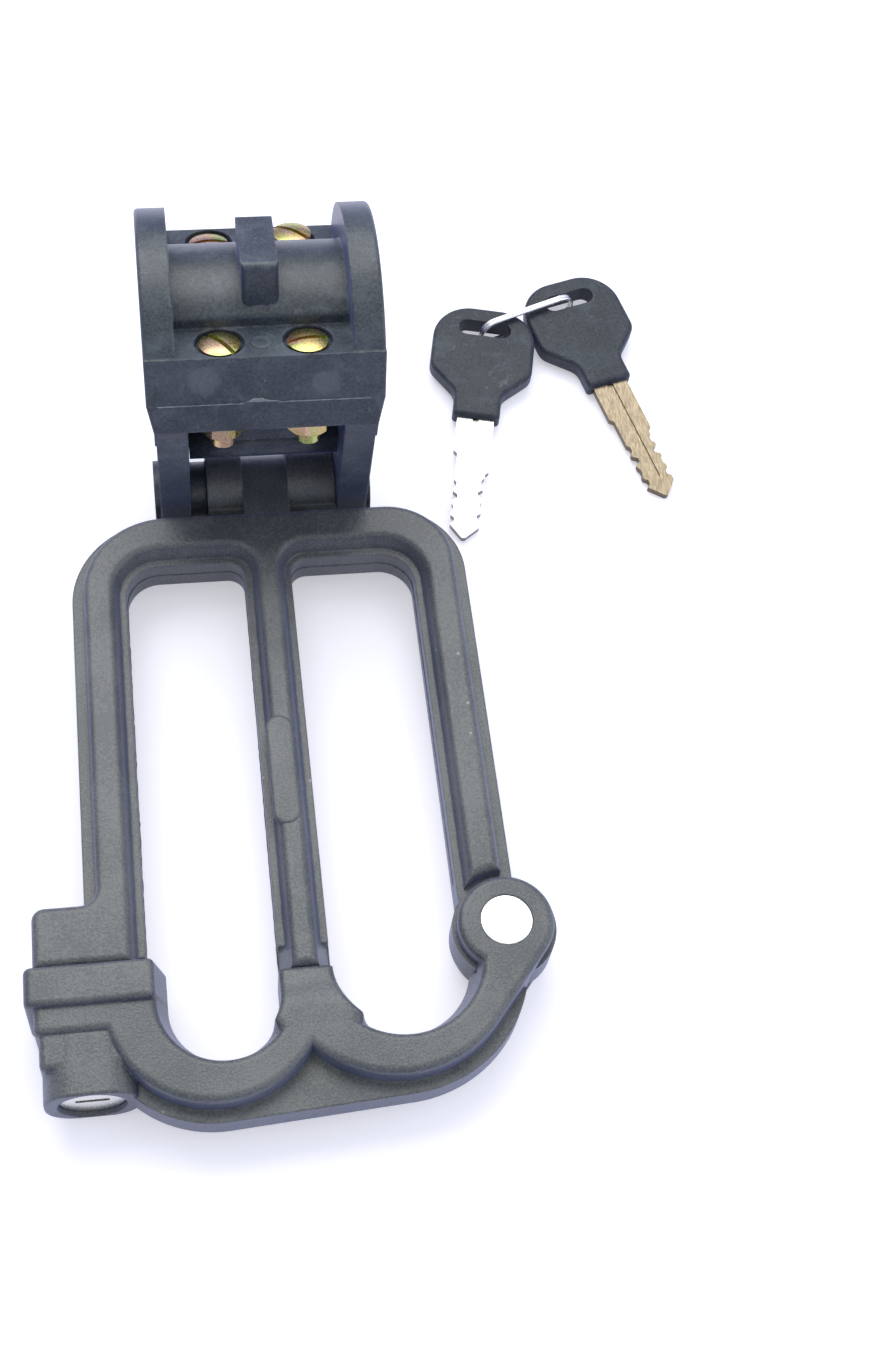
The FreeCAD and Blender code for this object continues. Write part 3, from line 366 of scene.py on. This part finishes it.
def moulded_plastic(name, light, dark, smoothest, roughest, grain_size, reach, shine, spots=()):
    """Dark moulded skin; spots are (middle, radius) of the round marks that show on it."""
    material, tree, shader = new_material(name)
    skin = effect(tree, grain, Light=light, Dark=dark, Grain=grain_size, Patches=70.0, Smoothest=smoothest,
                  Roughest=roughest)
    worn_highlit_edges = effect(tree, edge_wear_and_highlight, Reach=reach, Breaks=420.0)
    dust = effect(tree, specks, Spacing=220.0, Size=0.06)
    marks = effect(tree, scuffs, Spread=95.0)
    smear = tuple(2.0 * part for part in light[:3]) + (1,)
    colour = laid_over(tree, skin.outputs["Color"], marks.outputs["Smears"], 0.45, smear)
    for middle, radius in spots:
        spot = effect(tree, soft_spot, Middle=middle, Radius=radius)
        colour = laid_over(tree, colour, spot.outputs["Mask"], 0.55, (0.135, 0.150, 0.165, 1))
    colour = laid_over(tree, colour, marks.outputs["Lines"], 0.20, (0.26, 0.28, 0.31, 1))
    # Painted highlight and wear: the moulding's edges are lightened towards grey.
    colour = laid_over(tree, colour, worn_highlit_edges.outputs["Mask"], 0.45, (0.26, 0.27, 0.30, 1))
    colour = laid_over(tree, colour, dust.outputs["Mask"], 0.35, (0.35, 0.35, 0.37, 1))
    joined(tree, shader, Base_Color=colour, Roughness=skin.outputs["Roughness"],
           Normal=bumped(tree, skin.outputs["Height"], 0.00005, worn_highlit_edges.outputs["Normal"]))
    shader.inputs["Specular IOR Level"].default_value = shine
    # Painted blue reflection along the sides of the moulding.
    painted_blue_sheen(shader, 0.18)
    return material


def yellow_zinc():
    """Yellow passivated zinc of the screws and nuts."""
    material, tree, shader = new_material("yellow_zinc")
    tints = effect(tree, plating, First=(0.52, 0.40, 0.17, 1), Second=(0.42, 0.45, 0.17, 1),
                   Third=(0.56, 0.38, 0.26, 1), Drift=210.0, Marks=2600.0)
    joined(tree, shader, Base_Color=tints.outputs["Color"], Roughness=tints.outputs["Roughness"],
           Normal=bumped(tree, tints.outputs["Height"], 0.00002))
    shader.inputs["Metallic"].default_value = 1.0
    return material


def brushed_metal(name, high, low, stretch, lines, smoothest, roughest, depth=0.00001, side=None):
    """Metal brushed in colours from low to high; side is a painted shade colour laid on a flat stamping's
    thin walls.
    """
    material, tree, shader = new_material(name)
    marks = effect(tree, brushing, Stretch=stretch, Lines=lines)
    dust = effect(tree, specks, Spacing=260.0, Size=0.08)
    colour = blended(tree, marks.outputs["Tone"], low, high)
    # Painted shade: the thin walls of a stamping take the darker side colour.
    if side:
        colour = blended(tree, effect(tree, painted_side_shade, Lean=0.6).outputs["Mask"], colour, side)
    colour = laid_over(tree, colour, dust.outputs["Mask"], 0.4, (0.25, 0.22, 0.18, 1))
    joined(tree, shader, Base_Color=colour,
           Roughness=stepped(tree, marks.outputs["Tone"], 0.0, 1.0, roughest, smoothest),
           Normal=bumped(tree, marks.outputs["Height"], depth))
    shader.inputs["Metallic"].default_value = 1.0
    return material


casting = coated_casting()
zinc = yellow_zinc()
push_marks = ((on_clamp(-15.3, clamp_front, 6.9), 0.0050), (on_clamp(14.8, clamp_front, 4.8), 0.0046))
clamp_black = moulded_plastic("clamp_plastic", (0.062, 0.076, 0.090, 1), (0.030, 0.038, 0.050, 1),
                              0.30, 0.44, 1500.0, 0.0008, 0.5, push_marks)
key_black = moulded_plastic("key_plastic", (0.036, 0.045, 0.058, 1), (0.015, 0.019, 0.028, 1),
                            0.42, 0.58, 1500.0, 0.0007, 0.4)
torn_plastic = moulded_plastic("torn_plastic", (0.40, 0.40, 0.43, 1), (0.20, 0.20, 0.22, 1),
                               0.45, 0.70, 2600.0, 0.0004, 0.5)
polished = brushed_metal("bright_steel", (0.93, 0.93, 0.92, 1), (0.84, 0.84, 0.83, 1),
                         (1.0, 0.2, 1.0), 2400.0, 0.24, 0.34, 0.000003)
# The side colours of both blades are painted shade on their thin walls.
nickel = brushed_metal("nickel_plate", (0.86, 0.85, 0.82, 1), (0.68, 0.66, 0.62, 1),
                       (1.0, 0.15, 1.0), 2600.0, 0.22, 0.36, side=(0.22, 0.22, 0.24, 1))
worn_nickel = brushed_metal("worn_nickel_plate", (0.39, 0.32, 0.23, 1), (0.26, 0.21, 0.15, 1),
                            (1.0, 0.15, 1.0), 2600.0, 0.34, 0.50, side=(0.16, 0.13, 0.10, 1))
oiled = brushed_metal("oiled_steel", (0.36, 0.35, 0.34, 1), (0.20, 0.19, 0.19, 1),
                      (0.2, 1.0, 1.0), 1800.0, 0.28, 0.46)
brass = brushed_metal("turned_brass", (0.80, 0.62, 0.30, 1), (0.62, 0.45, 0.20, 1),
                      (1.0, 0.2, 1.0), 2400.0, 0.20, 0.38)

finishes = {
    casting: ("shackle_frame", "gate"),
    clamp_black: ("clamp_cap", "clamp_base", "hinge_spacer"),
    key_black: ("key_head_a", "key_head_b"),
    zinc: ("clamp_screws", "clamp_nuts", "bar_screw"),
    polished: ("gate_rivet", "plug_cap", "key_link"),
    nickel: ("key_blade_a",),
    worn_nickel: ("key_blade_b",),
    oiled: ("lock_barrel", "plug_clip", "turn_bar", "barrel_pin", "hinge_pin"),
    brass: ("lock_plug", "plug_wafers"),
}
for material, names in finishes.items():
    for name in names:
        mesh = nodes[name].data
        mesh.materials.clear()
        mesh.materials.append(material)


# ---- small pieces ----
def new_piece(name, points, faces, material, body):
    """Smooth mesh piece that rides on a body."""
    mesh = bpy.data.meshes.new(name)
    mesh.from_pydata(points, [], faces)
    mesh.validate()
    for face in mesh.polygons:
        face.use_smooth = True
    mesh.materials.append(material)
    piece = bpy.data.objects.new(name, mesh)
    bpy.context.scene.collection.objects.link(piece)
    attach(piece, body)


def lofted_piece(name, loops, material, body):
    """Closed piece through loops of as many points each, with both ends capped."""
    count = len(loops[0])
    faces = [tuple(range((len(loops) - 1) * count, len(loops) * count)), tuple(reversed(range(count)))]
    for k in range(len(loops) - 1):
        for i in range(count):
            j = (i + 1) % count
            faces.append((k * count + i, k * count + j, (k + 1) * count + j, (k + 1) * count + i))
    new_piece(name, [point for loop in loops for point in loop], faces, material, body)


def ridge(name, path, ways, wide, high, rough, material, body):
    """Low uneven ridge along a path; ways point out of the surface it stands on."""
    sunk = 0.00012
    count = len(path)
    loops = []
    for i, (place, way) in enumerate(zip(path, ways)):
        along = path[min(i + 1, count - 1)] - path[max(i - 1, 0)]
        across = along.cross(way).normalized()
        swell = 1.0 + rough * noise.noise(place * 900.0) + 0.5 * rough * noise.noise(place * 2600.0)
        if i in (0, count - 1):
            swell = 0.1
        half = 0.5 * wide * (0.6 + 0.4 * swell)
        top = high * max(swell, 0.05)
        profile = ((-1.0, -sunk), (-0.56, 0.62 * top), (0.0, top), (0.56, 0.62 * top), (1.0, -sunk))
        loops.append([place + across * side * half + way * up for side, up in profile])
    lofted_piece(name, loops[::-1], material, body)


def bend(middle_x, middle_y, radius, start, stop, steps):
    """(x, y) points along an arc; angles in degrees."""
    angles = [math.radians(start + (stop - start) * i / steps) for i in range(steps + 1)]
    return [(middle_x + radius * math.cos(a), middle_y + radius * math.sin(a)) for a in angles]


def divided(points, step):
    """The same line with points no further apart than step."""
    out = [points[0]]
    for (x0, y0), (x1, y1) in zip(points, points[1:]):
        parts = max(1, math.ceil(math.hypot(x1 - x0, y1 - y0) / step))
        out += [(x0 + (x1 - x0) * i / parts, y0 + (y1 - y0) * i / parts) for i in range(1, parts + 1)]
    return out


def window_line(left, right, left_r, right_r, left_low, right_low):
    """Parting line round the inside of one shackle window."""
    line = [(left, left_low), (left, window_top - left_r)]
    line += bend(left + left_r, window_top - left_r, left_r, 180, 90, 10)
    line += bend(right - right_r, window_top - right_r, right_r, 90, 0, 10)
    line.append((right, right_low))
    path = [on_lock(x, y, 0.0) for x, y in divided(line, 1.2)]
    middle = on_lock((left + right) / 2, 0, 0).x
    floor = on_lock(0, window_top - max(left_r, right_r), 0).y
    ways = []
    for place in path:
        inward = Vector((middle - place.x, min(0.0, floor - place.y) * 1.6, 0.0))
        if place.y < floor:
            inward.y = 0.0
        ways.append(inward.normalized())
    return path, ways


def parting_lines():
    """Thin flash left by the mould halves inside both windows."""
    left = (-window_wall, bar_left, window_outer_r, window_inner_r, left_wall_foot, bar_foot)
    right = (bar_right, window_wall, window_inner_r, window_outer_r, bar_foot, right_wall_foot)
    for name, shape in (("left", left), ("right", right)):
        path, ways = window_line(*shape)
        ridge("parting_line_" + name, path, ways, 0.0006, 0.00022, 0.8, casting, "shackle")


def blank_panel():
    """Plain raised pad along the crown of the centre bar."""
    middle = -1.7
    high_y = -75.5
    low_y = -105.8
    half = 3.4
    steps = 14
    loops = []
    for inset, rise in ((0.0, 7.6), (0.0, 8.55), (0.14, 9.02), (0.42, 9.24), (0.8, 9.30)):
        radius = half - inset
        loop = bend(middle, high_y - half, radius, 0, 180, steps)
        loop += bend(middle, low_y + half, radius, 180, 360, steps)
        loops.append([on_lock(x, y, rise) for x, y in loop])
    lofted_piece("blank_panel", loops, casting, "shackle")


def round_pad():
    """Small plain pad between the two front screws."""
    loops = []
    for radius, proud in ((2.75, 0.0), (2.75, 0.28), (2.55, 0.36), (2.1, 0.36), (1.95, 0.26)):
        loop = bend(-0.6, -23.6, radius, 0, 350, 35)
        loops.append([on_clamp(x, depth, clamp_ledge + proud) for x, depth in loop])
    lofted_piece("round_pad", loops, clamp_black, "clamp")


def split_flash():
    """Uneven flash along the clamp's split, on the front."""
    outward = on_clamp(0, -1, 0).normalized()
    for name, start, stop, rise, high in (("left", -27.0, -5.6, -0.25, 0.00022),
                                          ("right", 2.6, 26.0, -0.2, 0.00016)):
        steps = int((stop - start) / 0.5)
        path = []
        for i in range(steps + 1):
            x = start + (stop - start) * i / steps
            wander = 0.12 * noise.noise(Vector((x * 0.6, 3.0, 0.0)))
            path.append(on_clamp(x, clamp_front, rise + wander))
        ridge("split_flash_" + name, path, [outward] * len(path), 0.00034, high, 1.0, torn_plastic, "clamp")


def torn_spot():
    """Torn lip of plastic on the split; each section is (x, how high it stands, how far it stands out)."""
    sections = ((-5.2, 0.15, 0.0), (-4.2, 0.7, 0.3), (-3.3, 1.25, 0.55), (-2.3, 1.15, 0.5), (-1.4, 1.3, 0.6),
                (-0.5, 0.85, 0.4), (0.6, 0.45, 0.3), (2.0, 0.4, 0.2), (3.4, 0.15, 0.0))
    inside = clamp_front + 0.1
    loops = []
    for x, rise, proud in sections:
        loops.append((on_clamp(x, inside, -0.1), on_clamp(x, clamp_front - 0.8 * proud, 0.35 * rise),
                      on_clamp(x + 0.2, clamp_front - 0.35 * proud, 0.8 * rise),
                      on_clamp(x, inside, rise + 0.1)))
    lofted_piece("torn_spot", loops[::-1], torn_plastic, "clamp")


def end_wall(window_end, side, out, y):
    """x of a round window end's wall, out millimetres behind the wall's foot."""
    middle_x, middle_y, radius = window_end
    drop = min(0.0, y - middle_y)
    return middle_x + side * math.sqrt((radius + out) ** 2 - drop ** 2)


def stub_side(high, flare):
    """(distance behind the wall's foot, height) from the parting plane up to the rounded crown."""
    edge_r = 1.75
    foot = (flare * (high - edge_r), high - edge_r)
    corner = (flare * high, high)
    end = (flare * high + edge_r, high)
    line = [(foot[0] * k / 3, foot[1] * k / 3) for k in range(3)]
    for k in range(7):
        t = k / 6
        line.append(tuple((1 - t) ** 2 * a + 2 * t * (1 - t) * b + t * t * c
                          for a, b, c in zip(foot, corner, end)))
    return line


def stub_sleeve():
    """Skin that leads the gate's middle stub into the crowns of its two ribs without a step."""
    sleeve_foot = -158.6
    loops = []
    for y in [sleeve_foot] + [stub_end - 0.3 - 0.7 * k for k in reversed(range(23))]:
        stub = stub_high + stub_slope * (stub_end - y)
        sunk = max((-155.5 - y) / (-155.5 - sleeve_foot), 0.0)
        high = stub + 0.06 + (rib_crown + 0.04 - stub) * eased(y, -145.5, -154.0)
        high = min(high, rib_crown + 0.05) - 0.08 * sunk
        gap = 0.11 * sunk - 0.07
        side = stub_side(high, end_flare * eased(y, -154.9, sleeve_foot))
        left = [(end_wall(left_end, 1, out + gap, y), z) for out, z in side]
        right = [(end_wall(right_end, -1, out + gap, y), z) for out, z in reversed(side)]
        start = left[-1][0]
        stop = right[0][0]
        top = left + [(start + (stop - start) * i / 5, high) for i in range(1, 5)] + right
        loop = top + [(x, -z) for x, z in reversed(top[1:-1])]
        loops.append([on_lock(x, y, z) for x, z in loop])
    lofted_piece("stub_sleeve", loops, casting, "gate")


def saddle_skirt():
    """Skirt of the block under the bore, between the clamp's legs, with rolled lower edges."""
    outline = [(-saddle_deep, -22.5), (-saddle_deep, saddle_under + 1.5),
               (0.45 - saddle_deep, saddle_under + 0.4), (1.55 - saddle_deep, saddle_under)]
    outline += [(-depth, rise) for depth, rise in reversed(outline)]
    loops = [[on_clamp(x, depth, rise) for depth, rise in outline] for x in (leg_room, 0.0, -leg_room)]
    lofted_piece("saddle_skirt", loops, clamp_black, "clamp")


parting_lines()
blank_panel()
split_flash()
torn_spot()
round_pad()
stub_sleeve()
saddle_skirt()


# ---- stage, lights and camera ----
def make_floor():
    """Pale floor that keeps the soft shadow."""
    reach = 3.0
    level = cad_low.z - 0.0001
    mesh = bpy.data.meshes.new("floor")
    corners = [(-reach, -reach, level), (reach, -reach, level), (reach, reach, level), (-reach, reach, level)]
    mesh.from_pydata(corners, [], [(0, 1, 2, 3)])
    floor = bpy.data.objects.new("floor", mesh)
    bpy.context.scene.collection.objects.link(floor)
    material, tree, shader = new_material("white_table")
    path = add(tree, "LightPath").outputs
    seen = maths(tree, "ADD", path["Is Camera Ray"], path["Is Glossy Ray"])
    seen = maths(tree, "ADD", seen, path["Is Transmission Ray"])
    shader.inputs["Base Color"].default_value = (0.76, 0.75, 0.90, 1)
    shader.inputs["Roughness"].default_value = 0.9
    shader.inputs["Emission Color"].default_value = (1.0, 1.0, 1.0, 1)
    tree.links.new(maths(tree, "MULTIPLY", seen, 0.42), shader.inputs["Emission Strength"])
    mesh.materials.append(material)


def make_world():
    """Soft room, dimmer and bluer near the floor, that is seen as plain white."""
    world = bpy.data.worlds.new("soft_room")
    bpy.context.scene.world = world
    world.use_nodes = True
    tree = world.node_tree
    back = tree.nodes["Background"]
    way = add(tree, "TexCoord").outputs["Generated"]
    height = add(tree, "SeparateXYZ", [("Vector", way)]).outputs["Z"]
    sky = blended(tree, stepped(tree, height, 0.0, 0.75), (0.17, 0.19, 0.56, 1), (0.73, 0.76, 0.73, 1))
    path = add(tree, "LightPath").outputs["Is Camera Ray"]
    tree.links.new(blended(tree, path, sky, (1, 1, 1, 1)), back.inputs["Color"])
    back.inputs["Strength"].default_value = 1.0


def area_light(name, place, wide, high, power, colour):
    """Soft lamp that looks at the middle of the lock."""
    lamp = bpy.data.lights.new(name, "AREA")
    lamp.shape = "RECTANGLE"
    lamp.size = wide
    lamp.size_y = high
    lamp.energy = power
    lamp.color = colour
    holder = bpy.data.objects.new(name, lamp)
    bpy.context.scene.collection.objects.link(holder)
    holder.location = place
    holder.rotation_mode = "QUATERNION"
    holder.rotation_quaternion = (Vector((0, -0.08, 0)) - Vector(place)).to_track_quat("-Z", "Y")


def make_camera():
    """Camera above and in front of the key lock, turned a little to the left."""
    data = bpy.data.cameras.new("camera")
    data.sensor_width = 36.0
    data.lens = 52.04
    data.clip_start = 0.01
    data.clip_end = 20.0
    camera = bpy.data.objects.new("camera", data)
    bpy.context.scene.collection.objects.link(camera)
    right = Vector((0.98860, -0.12286, 0.08698))
    up = Vector((0.0657, 0.8720, 0.4851))
    back = right.cross(up)
    turn = Matrix((right, up, back)).transposed().to_4x4()
    camera.matrix_world = Matrix.Translation(Vector((-0.02640, -0.32355, 0.40125))) @ turn
    bpy.context.scene.camera = camera


make_floor()
make_world()
area_light("window", (-0.10, 0.52, 0.92), 1.1, 0.8, 9.0, (1.0, 1.0, 0.98))
area_light("side_fill", (0.9, -0.2, 0.40), 0.8, 0.6, 2.0, (0.86, 0.90, 1.0))
make_camera()
bpy.context.scene.view_settings.view_transform = "Standard"
